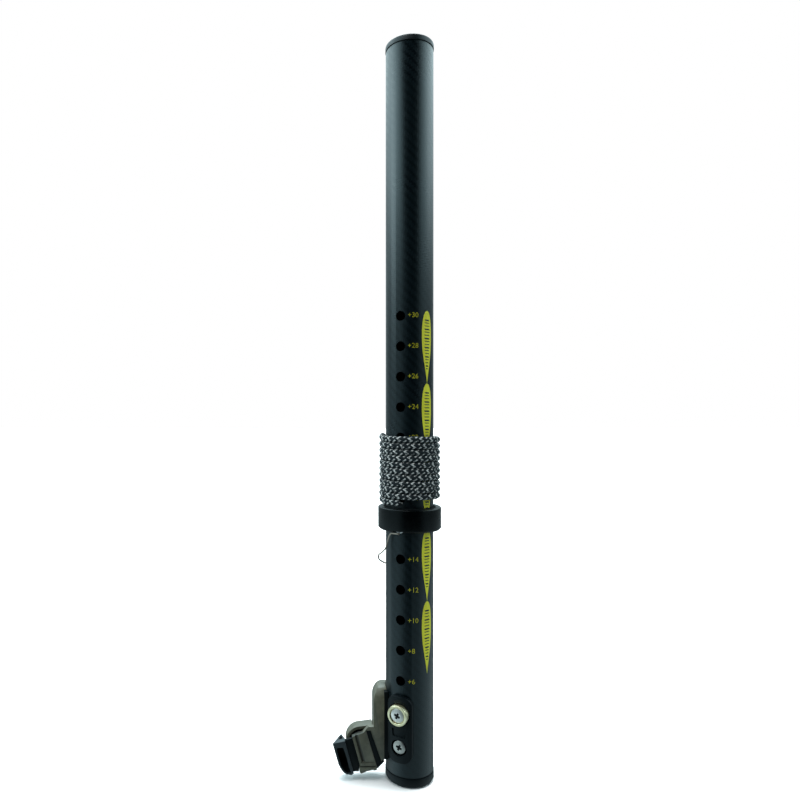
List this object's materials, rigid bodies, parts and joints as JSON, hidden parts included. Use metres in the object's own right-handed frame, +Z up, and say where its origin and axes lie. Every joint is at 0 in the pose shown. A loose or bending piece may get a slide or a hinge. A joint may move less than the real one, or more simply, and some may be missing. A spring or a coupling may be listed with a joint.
{
  "type": "windsurf mast extension",
  "caption": "Carbon tube mast extension with a sliding pinned height collar, wound downhaul line, push-button socket and a pulley block with a cleat.",
  "frame": {"origin": "bottom centre of the object's bounding box, on the plane that the base flange stands on; the tube's axis is at x = 0.0155 m, y = 0", "axes": "+Z up along the tube from the mast-foot socket to the top cap, -X towards the pulley block and cleat, -Y towards the side with the height holes and the release button"},
  "size_m": [0.0735, 0.0433, 0.4948],
  "materials": {
    "carbon": "twill carbon laminate under a semi-gloss resin",
    "black_plastic": "moulded black nylon, fine grain",
    "rubber": "black rubber",
    "block": "olive-brown glass-filled nylon, satin",
    "sheave": "black acetal",
    "steel": "stainless steel, brushed",
    "brass": "pale brass, turned",
    "line": "braided polyester line, black with white and grey flecks"
  },
  "bodies": {
    "tube": {"carbon_tube": "carbon", "top_cap": "black_plastic", "base_socket": "black_plastic", "release_housing": "black_plastic", "leaf_spring": "steel", "spring_screw": "steel", "bracket": "block", "cheek_inlay": "rubber", "bracket_pad": "rubber", "sheave_guard": "block", "sheave_axle": "steel", "block_screw_1": "steel", "block_screw_2": "steel", "bracket_screw_1": "steel", "bracket_screw_2": "steel", "cleat_body": "black_plastic"},
    "collar": {"collar_ring": "black_plastic", "collar_bush": "rubber", "rope_coil": "line"},
    "clip": {"lock_pin": "steel", "clip_wire": "steel"},
    "button": {"release_button": "brass", "button_screw": "steel", "latch_plate": "steel"},
    "pulley": {"sheave": "sheave", "sheave_bush": "brass"}
  },
  "joints": [
    {"name": "collar_slide", "type": "slide", "parent": "tube", "child": "collar", "axis": [0, 0, 1], "range_m": [-0.1, 0.14]},
    {"name": "clip_pull", "type": "slide", "parent": "collar", "child": "clip", "axis": [-0.503, -0.8643, 0], "range_m": [0, 0.0026], "stiffness_N_per_m": 400, "springref_m": -0.001},
    {"name": "button_press", "type": "slide", "parent": "tube", "child": "button", "axis": [0.503, 0.8643, 0], "range_m": [0, 0.0025], "stiffness_N_per_m": 2000, "springref_m": -0.001},
    {"name": "sheave_spin", "type": "hinge", "parent": "tube", "child": "pulley", "pos_m": [-0.0177, 0, 0.0242], "axis": [0, 1, 0], "continuous": true}
  ]
}
